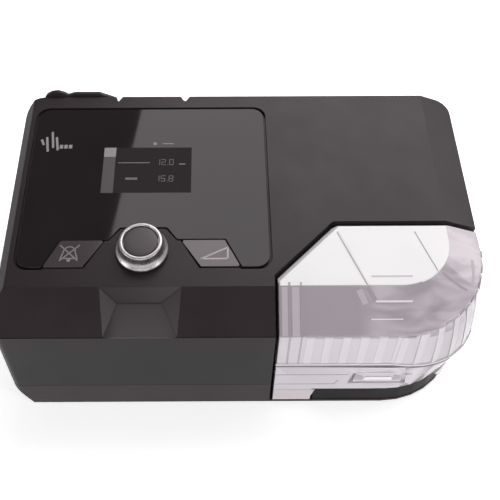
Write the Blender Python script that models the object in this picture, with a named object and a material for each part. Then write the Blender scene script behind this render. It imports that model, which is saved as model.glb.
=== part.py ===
"""Bench-top breathing ventilator with a slide-in heated water tank.

The object stands on z = 0 with its front towards -y and its right side towards +x.
All numbers below are millimetres in the body frame, whose front face is y = -86; the
finished parts hang from one empty that carries the whole machine back by SHIFT_Y, so
that the machine with its rear hose port is centred on the origin. Parts that belong to
the sloping top are drawn in a second frame (x, t, h): t runs back along the top from
its front edge and h stands square to it.
"""

import math

import bmesh
import bpy
from mathutils import Matrix, Vector

# Housing
HALF_X = 145.0
FRONT, BACK = -86.0, 86.0
SPLIT_Z = 24.6
SEAM_GAP = 0.3
FLOOR_Z = 2.2
WALL = 2.5
TOP_WALL = 3.6
BACK_WALL = 5.5
TILT = math.radians(8.4)
TOP_Y, TOP_Z = -61.0, 94.2
CHAMFER_Z = 78.1
LEFT_X, LEFT_DROP = -139.6, 4.6
RIGHT_X, RIGHT_DROP = 124.7, 7.0
PORT_END = 108.0
SHIFT_Y = -(PORT_END + FRONT) / 2

# Tank bay and tank
TANK_X, TANK_Y = 20.4, -85.8
TANK_BACK = -19.6
TANK_SIDE = 145.0
CORNER_R = 54.0
SHOULDER_R = 32.0
TANK_WALL = 2.2
TANK_FLOOR = 18.6
TUB_TOP, LID_Z = 45.2, 47.2
HINGE_Y, HINGE_Z = -22.3, 94.9
LID_BEVEL = 1.5
BAY = ((18.3, -95.0), (18.3, -53.4), (55.7, -16.4), (155.0, -16.4), (155.0, -95.0))

# Controls, in the (x, t, h) frame
KNOB_X, KNOB_T = -60.0, 24.4
PLATE = (-135.0, 16.3, 13.1, 137.1)
RECESS = 2.2
SCREEN = (-88.4, -31.5, 67.2, 103.6)
KEY_OUTLINE = ((22.9, 31.9), (35.2, 13.3), (58.7, 13.3), (49.5, 31.9))

# Inside
BLOWER = (56.0, 42.0)
PORTS = ((82.0, 75.0), (118.0, 75.0))
PORT_R = 8.5
OUTLET = (116.0, 66.0)
HEATER = (90.0, -52.0)
SCREWS = ((-125.0, -72.0), (11.0, -72.0), (134.0, 62.0), (-125.0, 64.0))
FEET = ((-118.0, -70.0), (118.0, -64.0), (118.0, 68.0), (-118.0, 68.0))


# ---------------------------------------------------------------- mesh helpers


def rounded(corners, seg=5):
    """Outline whose corners (x, y, radius) are turned into arcs."""
    out = []
    for i, (x, y, r) in enumerate(corners):
        p = Vector((x, y))
        if r <= 0:
            out.append((x, y))
            continue
        a = (Vector(corners[i - 1][:2]) - p).normalized()
        b = (Vector(corners[(i + 1) % len(corners)][:2]) - p).normalized()
        half = a.angle(b) / 2
        centre = p + (a + b).normalized() * (r / math.sin(half))
        v0 = p + a * (r / math.tan(half)) - centre
        v1 = p + b * (r / math.tan(half)) - centre
        start = math.atan2(v0.y, v0.x)
        turn = (math.atan2(v1.y, v1.x) - start + math.pi) % (2 * math.pi) - math.pi
        for k in range(seg + 1):
            ang = start + turn * k / seg
            out.append((centre.x + r * math.cos(ang), centre.y + r * math.sin(ang)))
    return out


def circle(cx, cy, r, seg=24):
    angles = [2 * math.pi * k / seg for k in range(seg)]
    return [(cx + r * math.cos(a), cy + r * math.sin(a)) for a in angles]


def loft(rings):
    """Closed body through rings of equally many points."""
    bm = bmesh.new()
    rows = [[bm.verts.new(p) for p in ring] for ring in rings]
    count = len(rows[0])
    for low, high in zip(rows, rows[1:]):
        for i in range(count):
            j = (i + 1) % count
            bm.faces.new((low[i], low[j], high[j], high[i]))
    bm.faces.new(list(reversed(rows[0])))
    bm.faces.new(rows[-1])
    return bm


def prism(outline, z0, z1):
    return loft([[(x, y, z) for x, y in outline] for z in (z0, z1)])


def box(x0, x1, y0, y1, z0, z1):
    return prism(((x0, y0), (x1, y0), (x1, y1), (x0, y1)), z0, z1)


def lathe(profile, seg=28):
    """Body turned about z from (r, z) points; a profile off the axis gives a ring."""
    bm = bmesh.new()
    rows = []
    for r, z in profile:
        if r < 1e-6:
            rows.append([bm.verts.new((0, 0, z))] * seg)
        else:
            rows.append([bm.verts.new((x, y, z)) for x, y in circle(0, 0, r, seg)])
    pairs = list(zip(rows, rows[1:]))
    if profile[0][0] > 1e-6:
        pairs.append((rows[-1], rows[0]))
    for low, high in pairs:
        for i in range(seg):
            j = (i + 1) % seg
            corners = []
            for v in (low[i], low[j], high[j], high[i]):
                if v not in corners:
                    corners.append(v)
            if len(corners) > 2:
                bm.faces.new(corners)
    return bm


def tube(path, outer, inner, seg=14):
    """Hollow pipe along a path of points."""
    points = [Vector(p) for p in path]
    rings = {outer: [], inner: []}
    for i, p in enumerate(points):
        ahead = points[min(i + 1, len(points) - 1)] - points[max(i - 1, 0)]
        side = ahead.cross(Vector((1, 0, 0))).normalized()
        up = side.cross(ahead).normalized()
        for r, found in rings.items():
            found.append([p + (side * y + up * x) for x, y in circle(0, 0, r, seg)])
    bm = bmesh.new()
    out = [[bm.verts.new(p) for p in ring] for ring in rings[outer]]
    ins = [[bm.verts.new(p) for p in ring] for ring in rings[inner]]
    loop = out + list(reversed(ins))
    for low, high in zip(loop, loop[1:] + loop[:1]):
        for i in range(seg):
            j = (i + 1) % seg
            bm.faces.new((low[i], low[j], high[j], high[i]))
    return bm


def clip(bm, point, normal):
    """Takes off everything on the normal's side of the plane and closes the cut."""
    geom = list(bm.verts) + list(bm.edges) + list(bm.faces)
    cut = bmesh.ops.bisect_plane(
        bm, geom=geom, dist=1e-5, plane_co=point, plane_no=normal, clear_outer=True
    )
    edges = [e for e in cut["geom_cut"] if isinstance(e, bmesh.types.BMEdge)]
    bmesh.ops.contextual_create(bm, geom=edges)
    return bm


def soften(bm, offset, seg=2, least=18.0, keep=lambda e: True):
    """Rounds the edges that turn by more than the least angle."""
    bmesh.ops.recalc_face_normals(bm, faces=list(bm.faces))
    turned = [
        e
        for e in bm.edges
        if len(e.link_faces) == 2 and e.calc_face_angle(0) > math.radians(least)
    ]
    bmesh.ops.bevel(
        bm,
        geom=[e for e in turned if keep(e)],
        offset=offset,
        offset_type="OFFSET",
        segments=seg,
        profile=0.5,
        affect="EDGES",
        clamp_overlap=True,
    )
    return bm


def turned(bm, axis):
    """Lays a body drawn along z along the named axis."""
    if axis == "X":
        bm.transform(Matrix.Rotation(math.pi / 2, 4, "Y"))
    if axis == "Y":
        bm.transform(Matrix.Rotation(-math.pi / 2, 4, "X"))
    return bm


def moved(bm, x, y, z):
    bm.transform(Matrix.Translation((x, y, z)))
    return bm


# -------------------------------------------------------------- object helpers


def empty(name, parent=None, loc=(0, 0, 0), tilt=0.0):
    ob = bpy.data.objects.new(name, None)
    bpy.context.scene.collection.objects.link(ob)
    ob.parent = parent
    ob.location = [v / 1000 for v in loc]
    ob.rotation_euler = (tilt, 0, 0)
    return ob


def body(name, bm, look, parent, loc=(0, 0, 0), smooth=False):
    """One node. The mesh is drawn about loc, which becomes the object's origin."""
    bmesh.ops.recalc_face_normals(bm, faces=list(bm.faces))
    bm.transform(Matrix.Translation([-v for v in loc]))
    bm.transform(Matrix.Scale(0.001, 4))
    mesh = bpy.data.meshes.new(name)
    bm.to_mesh(mesh)
    bm.free()
    if smooth:
        mesh.shade_smooth()
        mesh.set_sharp_from_angle(angle=math.radians(35))
    ob = bpy.data.objects.new(name, mesh)
    bpy.context.scene.collection.objects.link(ob)
    ob.parent = parent
    ob.location = [v / 1000 for v in loc]
    if look:
        rgb, rough, metal = look
        mat = bpy.data.materials.new(name)
        mat.use_nodes = True
        shader = mat.node_tree.nodes["Principled BSDF"]
        shader.inputs["Base Color"].default_value = (*rgb, 1)
        shader.inputs["Roughness"].default_value = rough
        shader.inputs["Metallic"].default_value = metal
        mesh.materials.append(mat)
    return ob


def helper(bm, parent):
    ob = body("helper", bm, None, parent)
    ob.hide_render = True
    ob.display_type = "WIRE"
    return ob


def combine(target, operation, *shapes):
    for bm in shapes:
        mod = target.modifiers.new(operation.lower(), "BOOLEAN")
        mod.operation = operation
        mod.solver = "EXACT"
        mod.object = helper(bm, target.parent)
    return target


def combine_in(target, parent, operation, *shapes):
    """Like combine, with the shapes drawn in another parent's frame."""
    for bm in shapes:
        mod = target.modifiers.new(operation.lower(), "BOOLEAN")
        mod.operation = operation
        mod.solver = "EXACT"
        mod.object = helper(bm, parent)
    return target


# ---------------------------------------------------------------------- shapes


def top_point(x, t, h=0.0):
    """Body-frame point of the sloping top's (x, t, h)."""
    y = TOP_Y + t * math.cos(TILT) - h * math.sin(TILT)
    z = TOP_Z + t * math.sin(TILT) + h * math.cos(TILT)
    return Vector((x, y, z))


TOP_NORMAL = Vector((0, -math.sin(TILT), math.cos(TILT)))


def clip_to_form(bm, inset, top_inset):
    """Cuts a raw block to the machine's sloping top, front chamfer and side facets."""
    clip(bm, top_point(0, 0, -top_inset), TOP_NORMAL)
    slope = Vector((0, TOP_Y - FRONT, TOP_Z - CHAMFER_Z)).normalized()
    front = Vector((0, -slope.z, slope.y))
    clip(bm, Vector((0, FRONT, CHAMFER_Z)) - front * inset, front)
    for x_top, x_side, drop in (
        (LEFT_X, -HALF_X, LEFT_DROP),
        (RIGHT_X, HALF_X, RIGHT_DROP),
    ):
        along = top_point(x_top, 0) - top_point(x_side, 0, -drop)
        normal = along.cross(Vector((0, math.cos(TILT), math.sin(TILT))))
        if normal.z < 0:
            normal.negate()
        normal.normalize()
        clip(bm, top_point(x_top, 0) - normal * inset, normal)
    return bm


def housing_plan(inset, back_inset, corner=0.0):
    """L-shaped plan of the housing around the tank bay."""
    r = max(corner, 0)
    (bx, _), (_, by1), (bx2, by2) = BAY[0], BAY[1], BAY[2]
    shift = inset * math.tan(math.radians(22.5))
    return rounded(
        (
            (-HALF_X + inset, FRONT + inset, max(5 - r, 1.5)),
            (bx - inset, FRONT + inset, 0),
            (bx - inset, by1 + shift, 0),
            (bx2 - shift, by2 + inset, 0),
            (HALF_X - inset, by2 + inset, 0),
            (HALF_X - inset, BACK - back_inset, max(9 - r, 3)),
            (-HALF_X + inset, BACK - back_inset, max(13 - r, 4)),
        )
    )


def tank_plan(inset, seg=10):
    """Plan of the tank, clockwise corner by corner from its front left."""
    x0, y0 = TANK_X + inset, TANK_Y + inset
    shift = inset * math.tan(math.radians(22.5))
    arc = []
    for k in range(seg + 1):
        a = -math.pi / 2 + math.pi / 2 * k / seg
        r = CORNER_R - inset
        arc.append(
            (
                TANK_SIDE - CORNER_R + r * math.cos(a),
                TANK_Y + CORNER_R + r * math.sin(a),
            )
        )
    back = TANK_BACK - inset
    return (
        [(x0, y0)]
        + arc
        + [(TANK_SIDE - inset, back), (55.3 + shift, back), (x0, -54.2 - shift)]
    )


def lid_rings(inset, z0, back=None):
    """Rings of the tank's upper part: foot, shoulder and top."""
    plan = tank_plan(inset)
    seg = len(plan) - 5
    foot, shoulder, top = [], [], []
    for i, (x, y) in enumerate(plan):
        k = i - 1
        tx, tt = x, (y - TOP_Y) / math.cos(TILT)
        turn = min(max(k / seg, 0), 1)
        z = CHAMFER_Z - 0.5 * inset + turn * 13.9
        if i == 0:
            tt = 0.37 * inset
        elif k <= seg:
            a = -math.pi / 2 + math.pi / 2 * k / seg
            r = SHOULDER_R - 0.2 * inset
            tx, tt = 92.0 + r * math.cos(a), SHOULDER_R + r * math.sin(a)
        elif k == seg + 1:
            tx = 124.0 - 0.2 * inset
            z = top_point(x, tt, -RIGHT_DROP - 0.7 * inset).z
        else:
            z = 88.0
        if back is not None and k == seg + 1:
            y = back
            tt = (y - TOP_Y) / math.cos(TILT)
        foot.append((x, y, z0))
        shoulder.append((x, y, z))
        top.append(top_point(tx, tt, -inset))
    return [foot, shoulder, top]


def x_prism(profile, x0, x1):
    """Body with a (y, z) profile running along x."""
    return loft([[(x, y, z) for y, z in profile] for x in (x0, x1)])


def knuckle(x0, x1, upward):
    """Hinge knuckle: half round about the hinge line with a web up or down."""
    r, sign = 2.2, -1 if upward else 1
    angles = [math.pi * k / 8 * sign for k in range(9)]
    arc = [(HINGE_Y + r * math.cos(a), HINGE_Z + r * math.sin(a)) for a in angles]
    far = 98.6 if upward else 90.0
    return x_prism(arc + [(HINGE_Y - r, far), (HINGE_Y + r, far)], x0, x1)


def rod(radius, x0, x1, y, z, seg=14):
    bm = turned(prism(circle(0, 0, radius, seg), 0, x1 - x0), "X")
    return moved(bm, x0, y, z)


def y_disc(outline_r, x, z, y0, y1, seg=24):
    bm = turned(prism(circle(0, 0, outline_r, seg), 0, y1 - y0), "Y")
    return moved(bm, x, y0, z)


def key_outline(side, grow=0.0):
    """Outline of the key left (-1) or right (+1) of the knob."""
    pts = [(KNOB_X + side * x, t) for x, t in KEY_OUTLINE]
    cx = sum(p[0] for p in pts) / 4
    ct = sum(p[1] for p in pts) / 4
    grown = [
        (x + math.copysign(grow, x - cx), t + math.copysign(grow, t - ct), 1.2)
        for x, t in pts
    ]
    return rounded(grown if side > 0 else grown[::-1], 3)


def plate_outline(grow, notch):
    """Outline of the glossy plate, open at the front for the knob and both keys."""
    x0, x1, t0, t1 = PLATE
    k = KNOB_X
    corners = [
        (x0 - grow, t0 - grow, 8),
        (k - 59.4 + notch, t0 - grow, 0.6),
        (k - 50.0 + notch, 32.5 - notch, 0.6),
        (k - 20.6, 32.5 - notch, 0.6),
        (k - 14.2 + notch / 2, 41.0 - notch, 2),
        (k + 14.2 - notch / 2, 41.0 - notch, 2),
        (k + 20.6, 32.5 - notch, 0.6),
        (k + 50.0 - notch, 32.5 - notch, 0.6),
        (k + 59.4 - notch, t0 - grow, 0.6),
        (x1 + grow, t0 - grow, 8),
        (x1 + grow, t1 + grow, 8),
        (x0 - grow, t1 + grow, 9),
    ]
    return rounded(corners, 4)


def pillar(x, y):
    """Screw pillar of the upper housing, up to the underside of its top."""
    t = (y - TOP_Y) / math.cos(TILT)
    drop = max(x - RIGHT_X, 0) / (HALF_X - RIGHT_X) * RIGHT_DROP
    top = top_point(0, t, -TOP_WALL / 2 - 1.6 * drop).z if t > 0 else 84.5
    return moved(prism(circle(0, 0, 4.2, 16), SPLIT_Z + SEAM_GAP, top), x, y, 0)


# ----------------------------------------------------------------------- parts

PLASTIC = ((0.105, 0.095, 0.098), 0.42, 0.0)
BLACK = ((0.03, 0.028, 0.03), 0.3, 0.0)
RUBBER = ((0.04, 0.04, 0.042), 0.8, 0.0)
CLEAR = ((0.82, 0.82, 0.85), 0.08, 0.0)
STEEL = ((0.7, 0.7, 0.71), 0.25, 1.0)
BOARD = ((0.03, 0.19, 0.09), 0.5, 0.0)
FOAM = ((0.22, 0.22, 0.23), 0.95, 0.0)
WHITE = ((0.75, 0.75, 0.74), 0.5, 0.0)


def prow():
    """Tongue that carries the top forward under the knob and slopes to the front."""
    points = []
    for side in (-1, 1):
        points += [
            top_point(KNOB_X + side * 24.6, 0.4, -0.02),
            top_point(KNOB_X + side * 12.6, -11.1, -0.02),
            Vector((KNOB_X + side * 13.4, -85.6, 77.6)),
            Vector((KNOB_X + side * 21.8, -85.6, 77.2)),
            Vector((KNOB_X + side * 21.8, -62.0, 77.2)),
            Vector((KNOB_X + side * 24.6, -58.0, 92.0)),
        ]
    bm = bmesh.new()
    for p in points:
        bm.verts.new(p)
    found = bmesh.ops.convex_hull(bm, input=list(bm.verts))
    loose = [v for v in found["geom_interior"] if isinstance(v, bmesh.types.BMVert)]
    bmesh.ops.delete(bm, geom=loose, context="VERTS")
    flat = list(bm.edges)
    bmesh.ops.dissolve_limit(bm, angle_limit=0.01, verts=list(bm.verts), edges=flat)
    return bm


def upper_shell(root, top):
    outer = prism(housing_plan(0, 0), SPLIT_Z + SEAM_GAP, 140)
    clip_to_form(outer, 0, 0)
    soften(outer, 1.2, keep=lambda e: min(v.co.z for v in e.verts) > SPLIT_Z + 1)
    shell = body("upper_shell", outer, PLASTIC, root)
    combine(shell, "UNION", prow())
    cavity = prism(housing_plan(WALL, BACK_WALL, 2), 15, 140)
    clip_to_form(cavity, WALL, TOP_WALL)
    combine(shell, "DIFFERENCE", cavity)
    combine(shell, "UNION", *(pillar(x, y) for x, y in SCREWS))
    bores = [moved(prism(circle(0, 0, 1.85, 12), 20, 42), x, y, 0) for x, y in SCREWS]
    combine(shell, "DIFFERENCE", *bores)
    for x in (-82.5, -36.6):
        groove = ((x - 4.4, 88.0), (x - 0.6, 82.0), (x + 0.6, 82.0), (x + 4.4, 88.0))
        combine(shell, "DIFFERENCE", prism(groove, 60, 130))
    combine(shell, "DIFFERENCE", box(-130, -90, 70, 90, 48, 98))
    combine(shell, "DIFFERENCE", box(-77.4, -41.7, 83.8, 90, 63.5, 106.3))
    combine(shell, "DIFFERENCE", box(-72, -47, 70, 90, 80, 90))
    combine(shell, "DIFFERENCE", y_disc(11.4, *OUTLET, 70, 90))
    combine(shell, "DIFFERENCE", y_disc(5.7, 30, 42, 70, 90, 20))
    for x, z in PORTS:
        combine(shell, "DIFFERENCE", y_disc(PORT_R, x, z, -25, -5))
    holes = [
        prism(plate_outline(1.5, 0.9), -RECESS, 6),
        prism(circle(KNOB_X, KNOB_T, 4.2, 20), -12, 6),
        prism(circle(-55.7, 106.9, 1.7, 12), -12, 6),
        box(SCREEN[0] - 0.6, SCREEN[1] + 0.6, SCREEN[2] - 0.6, SCREEN[3] + 0.6, -12, 6),
    ]
    for side in (-1, 1):
        x = KNOB_X + side * 42
        holes.append(prism(key_outline(side, 1.0), -RECESS, 6))
        holes.append(box(x - 6.5, x + 6.5, 17, 28, -12, 6))
    combine_in(shell, top, "DIFFERENCE", *holes)
    return shell


def lower_shell(root):
    plan = rounded(
        (
            (-HALF_X, FRONT, 5),
            (HALF_X, FRONT, CORNER_R),
            (HALF_X, BACK, 9),
            (-HALF_X, BACK, 13),
        ),
        8,
    )
    slant = Vector((-SPLIT_Z, 0, -11.0)).normalized()
    outer = prism(plan, FLOOR_Z, SPLIT_Z)
    clip(outer, Vector((-HALF_X, 0, SPLIT_Z)), slant)
    soften(outer, 1.0, 1, 25.0, lambda e: max(v.co.z for v in e.verts) < 3)
    shell = body("lower_shell", outer, PLASTIC, root)
    cavity = prism(housing_plan(WALL, BACK_WALL, 2), FLOOR_Z + WALL, 40)
    clip(cavity, Vector((-HALF_X, 0, SPLIT_Z)) - slant * WALL, slant)
    combine(shell, "DIFFERENCE", cavity, prism(BAY, FLOOR_Z + WALL, 40))
    posts = [moved(prism(circle(0, 0, 5, 16), 3, 24.2), x, y, 0) for x, y in SCREWS]
    combine(shell, "UNION", *posts)
    for x, y in SCREWS:
        bore = lathe(((0, -5), (3.6, -5), (3.6, 10), (1.85, 10), (1.85, 40), (0, 40)), 14)
        combine(shell, "DIFFERENCE", moved(bore, x, y, 0))
    return shell


def screws(root):
    for i, (x, y) in enumerate(SCREWS):
        profile = ((0, 6.6), (3.1, 6.6), (3.1, 9.5), (1.5, 9.5), (1.5, 38), (0, 38))
        body(f"housing_screw_{i + 1}", moved(lathe(profile, 14), x, y, 0), STEEL, root)


def feet(root):
    for i, (x, y) in enumerate(FEET):
        profile = ((0, 0), (7.0, 0), (7.6, 0.6), (7.6, 1.9), (0, 1.9))
        foot = moved(lathe(profile, 20), x, y, 0)
        body(f"foot_{i + 1}", foot, RUBBER, root, smooth=True)


def controls(top):
    plate = prism(plate_outline(0, 0), -1.9, 0.05)
    plate = body("control_plate", plate, BLACK, top)
    x0, x1, t0, t1 = SCREEN
    combine(plate, "DIFFERENCE", box(x0 - 0.3, x1 + 0.3, t0 - 0.3, t1 + 0.3, -4, 4))
    combine(plate, "DIFFERENCE", prism(circle(-55.7, 106.9, 1.5, 12), -4, 4))
    body("lcd_module", box(x0, x1, t0, t1, -9, -0.15), BLACK, top)
    lens = prism(circle(-55.7, 106.9, 1.2, 12), -9, 0.1)
    body("indicator_lens", lens, ((0.9, 0.9, 0.85), 0.3, 0.0), top)
    for side, name in ((-1, "mute"), (1, "ramp")):
        x = KNOB_X + side * 42
        cap = soften(prism(key_outline(side), -1.2, 0.25), 0.2, 1, 50)
        look = ((0.05, 0.045, 0.048), 0.35, 0.0)
        key = body(f"{name}_button", cap, look, top, (x, 22.6, 0))
        combine(key, "UNION", box(x - 5.8, x + 5.8, 17.6, 27.4, -5.5, -0.9))
        body(f"{name}_switch", box(x - 3, x + 3, 19.6, 25.6, -10.1, -6.6), WHITE, top)


def knob(top):
    centre = (KNOB_X, KNOB_T, 0)
    outer = [(15.75, 1.3), (15.75, 2.6), (15.0, 3.4), (13.3, 5.2), (12.9, 10.6)]
    outer += [(12.5, 11.4), (10.9, 11.4), (10.5, 10.6), (10.5, 9.4), (0, 9.4)]
    inner = [(0, 7.6), (11.0, 7.6), (12.0, 4.4), (13.6, 1.3)]
    knob_body = lathe([inner[0]] + inner[1:] + outer, 40)
    boss = moved(prism(circle(0, 0, 5.2, 20), 1.6, 8.2), *centre)
    ob = body("knob_body", moved(knob_body, *centre), STEEL, top, centre, True)
    combine(ob, "UNION", boss)
    combine(ob, "DIFFERENCE", moved(prism(circle(0, 0, 3.3, 16), -2, 7.2), *centre))
    cap = lathe(((0, 9.7), (10.2, 9.7), (10.2, 10.5), (9.4, 11.0), (0, 11.0)), 32)
    body("knob_cap", moved(cap, *centre), BLACK, top, centre, True)
    shaft = lathe(((0, -8.2), (3, -8.2), (3, 6.8), (0, 6.8)), 16)
    body("encoder_shaft", moved(shaft, *centre), STEEL, top, centre)
    plunger = moved(prism(circle(0, 0, 3.4, 16), -9.0, -8.5), *centre)
    body("encoder_plunger", plunger, WHITE, top, centre)
    x, t = KNOB_X, KNOB_T
    case = body("encoder_body", box(x - 7, x + 7, t - 7, t + 7, -11, -4.2), STEEL, top)
    combine(case, "DIFFERENCE", prism(circle(x, t, 3.8, 16), -10.6, 0))


def boards(root, top):
    board = body("main_board", box(-112, 4, 8, 126, -13.4, -11.8), BOARD, top)
    combine(board, "DIFFERENCE", box(KNOB_X - 4, KNOB_X + 4, 8.5, 12, -20, 0))
    body("buzzer", moved(lathe(((0, -11.5), (6, -11.5), (6, -6), (0, -6)), 16), -10, 60, 0), BLACK, top)
    body("power_board", box(-60, 5, -70, 20, 9.0, 10.6), BOARD, root)
    ring = ((0, 75), (3.6, 75), (3.6, 86.2), (5.3, 86.2), (5.3, 72), (0, 72))
    socket = turned(lathe(ring, 20), "Y")
    body("dc_socket", moved(socket, 30, 0, 42), BLACK, root, smooth=True)


def blower(root):
    x, y = BLOWER
    outer = prism(circle(x, y, 34, 32), 34, 50)
    base = body("blower_base", outer, WHITE, root)
    combine(base, "UNION", box(x + 16, x + 34, y - 26, y + 4, 34, 50))
    combine(base, "DIFFERENCE", prism(circle(x, y, 31.5, 32), 36.4, 60))
    combine(base, "DIFFERENCE", box(x + 18.4, x + 31.6, y - 30, y, 36.4, 60))
    cover = body("blower_cover", prism(circle(x, y, 34, 32), 50.3, 53.2), WHITE, root)
    combine(cover, "UNION", box(x + 16, x + 34, y - 26, y + 4, 50.3, 53.2))
    combine(cover, "DIFFERENCE", prism(circle(x, y, 12, 20), 40, 60))
    motor = lathe(((0, 56), (19, 56), (20, 57), (20, 76), (18, 78), (0, 78)), 28)
    case = body("motor", moved(motor, x, y, 0), STEEL, root, smooth=True)
    combine(case, "DIFFERENCE", prism(circle(x, y, 2.1, 12), 50, 70))
    shaft = lathe(((0, 39), (1.8, 39), (1.8, 68), (0, 68)), 12)
    body("motor_shaft", moved(shaft, x, y, 0), STEEL, root, (x, y, 0))
    hub = ((2.1, 39.5), (29, 39.5), (29, 41), (10, 43), (6, 48.5), (2.1, 48.5))
    wheel = body("impeller", moved(lathe(hub, 28), x, y, 0), WHITE, root, (x, y, 0))
    for k in range(9):
        blade = box(9, 28.5, -0.7, 0.7, 40.2, 48.4)
        blade.transform(Matrix.Rotation(2 * math.pi * k / 9, 4, "Z"))
        combine(wheel, "UNION", moved(blade, x, y, 0))
    for k in range(3):
        a = math.radians(60 + 120 * k)
        px, py = x + 27 * math.cos(a), y + 27 * math.sin(a)
        post = lathe(((0, 5), (4.5, 5), (3.2, 18), (4.5, 33.7), (0, 33.7)), 14)
        body(f"blower_mount_{k + 1}", moved(post, px, py, 0), RUBBER, root)


def air_path(root):
    foam = box(-118, -24, 28, 80.2, 12, 79)
    foam = body("silencer_foam", foam, FOAM, root)
    combine(foam, "DIFFERENCE", box(-108, -40, 40, 68, 30, 100))
    body("air_filter", box(-129.6, -90.4, 80.8, 85.6, 48.4, 97.6), FOAM, root)
    waves = [(-84.6, 86.3), (-84.6, 87.0), (-92.0, 87.4), (-94.5, 88.6), (-110.0, 88.8)]
    waves += [(-113.5, 87.6), (-116.0, 87.5), (-118.5, 88.9), (-121.0, 89.6)]
    waves += [(-125.0, 89.6), (-127.6, 88.8), (-131.5, 86.3)]
    cover = clip(prism(waves, 42, 140), top_point(0, 150, -3.0), TOP_NORMAL)
    body("filter_cover", cover, PLASTIC, root, (-108.0, 87.2, 42.4))
    door = box(-77.0, -42.1, 84.1, 85.6, 64.4, 105.9)
    body("data_door", door, PLASTIC, root, (-59.5, 84.85, 64.8))
    body("card_socket", box(-71.6, -47.4, 60.5, 83.4, 80.4, 89.6), STEEL, root)
    x, z = OUTLET
    ring = [(9.2, 60), (11.0, 60), (11.0, 86.4), (14.5, 86.4), (14.5, 88.6)]
    ring += [(11.2, 88.6), (11.0, PORT_END), (9.2, PORT_END)]
    port = moved(turned(lathe(ring, 32), "Y"), x, 0, z)
    body("outlet_port", port, PLASTIC, root, smooth=True)
    path = ((118, -13.5, 75), (118, 0, 75), (117, 25, 71.5), (116, 45, 66.4), (116, 59.6, 66))
    body("outlet_duct", tube(path, 9.8, 8.2), WHITE, root, smooth=True)
    bend = ((86, 14.6, 43), (86, 9, 43.4), (85, 2.5, 52), (83.5, -1.5, 65))
    bend += ((82.4, -5, 72), (82, -13.5, 75))
    body("inlet_duct", tube(bend, 6.6, 5.2), WHITE, root, smooth=True)
    body("flow_sensor", box(110, 122, 20, 38, 84.0, 90), BLACK, root)
    for name, (px, pz) in zip(("inlet_gasket", "outlet_gasket"), PORTS):
        ring = ((PORT_R, -19.2), (11.5, -19.2), (12.5, -16.7), (PORT_R, -16.7))
        gasket = moved(turned(lathe(ring, 24), "Y"), px, 0, pz)
        body(name, gasket, RUBBER, root, smooth=True)


def heater(root):
    outline = rounded(
        (
            (46.0, -85.7, 0),
            (144.7, -85.7, CORNER_R - 0.3),
            (144.7, -17.4, 2),
            (62.0, -17.4, 2),
            (46.0, -33.0, 2),
        ),
        8,
    )
    tray = body("heater_tray", prism(outline, 5.0, 18.0), BLACK, root)
    combine(tray, "DIFFERENCE", prism(circle(*HEATER, 28.2, 32), 13.0, 30))
    combine(tray, "DIFFERENCE", prism(((40, -90), (46.2, -90), (42.0, -60), (40, -60)), 2, 30))
    disc = moved(lathe(((0, 15.2), (26.5, 15.2), (27.8, 15.6), (27.8, 18.3), (0, 18.3)), 32), *HEATER, 0)
    body("heater_plate", disc, STEEL, root, (*HEATER, 0), True)
    body("heater_insulator", prism(circle(*HEATER, 26, 24), 13.3, 14.6), WHITE, root)


def tank(root):
    plan = tank_plan(0)
    outer = prism(plan, TANK_FLOOR, TUB_TOP)
    tub = body("tank_base", outer, CLEAR, root)
    foot = ((TANK_X, TANK_Y), (44.6, TANK_Y), (40.6, -56.0), (TANK_X, -56.0))
    combine(tub, "UNION", prism(foot, 5.0, 20.0))
    wall = box(58.0, 142.2, TANK_BACK - TANK_WALL, TANK_BACK, 40.0, 91.4)
    combine(tub, "UNION", wall)
    hollow = tank_plan(TANK_WALL)
    hollow = [(x, max(y, -80.3)) for x, y in hollow]
    combine(tub, "DIFFERENCE", prism(hollow, 20.8, 60))
    inside = ((22.6, -80.3), (39.6, -80.3), (38.2, -58.2), (22.6, -58.2))
    combine(tub, "DIFFERENCE", prism(inside, 7.2, 30))
    combine(tub, "UNION", knuckle(60, 68, False), knuckle(112, 120, False))
    combine(tub, "DIFFERENCE", rod(0.95, 58, 69, HINGE_Y, HINGE_Z))
    combine(tub, "DIFFERENCE", rod(0.95, 111, 121, HINGE_Y, HINGE_Z))
    for x, z in PORTS:
        combine(tub, "DIFFERENCE", y_disc(PORT_R, x, z, -30, -10))
    combine(tub, "DIFFERENCE", prism(circle(*HEATER, 24, 32), 10, 30))
    notch = ((66.5, 25.5), (102.5, 25.5), (100.5, 38.6), (68.5, 38.6))
    pocket = loft([[(x, y, z) for x, z in notch] for y in (-90, -82.9)])
    combine(tub, "DIFFERENCE", pocket)
    combine(tub, "DIFFERENCE", rod(0.95, 64.5, 104.5, -84.4, 36.9))

    plate = moved(lathe(((0, 18.7), (23.6, 18.7), (23.6, 21.4), (0, 21.4)), 32), *HEATER, 0)
    body("tank_plate", plate, STEEL, root, (*HEATER, 0), True)
    seal = moved(lathe(((21.4, 21.7), (25.4, 21.7), (25.4, 22.7), (21.4, 22.7)), 32), *HEATER, 0)
    body("plate_seal", seal, RUBBER, root, (*HEATER, 0), True)

    body("tank_seal", prism(seam_outline(), 45.5, 46.9), RUBBER, root)
    body("lid_pin", rod(0.85, 60.4, 119.6, HINGE_Y, HINGE_Z), STEEL, root)
    body("latch_pin", rod(0.85, 65, 104, -84.4, 36.9), STEEL, root)
    latch(root)


def seam_outline():
    """C-shaped strip along the tank's rim, open at the back."""
    outer, inner = tank_plan(0.5), tank_plan(2.0)
    out = outer[-2:] + outer[:-2]
    ins = inner[-2:] + inner[:-2]
    return out + list(reversed(ins))


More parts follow.
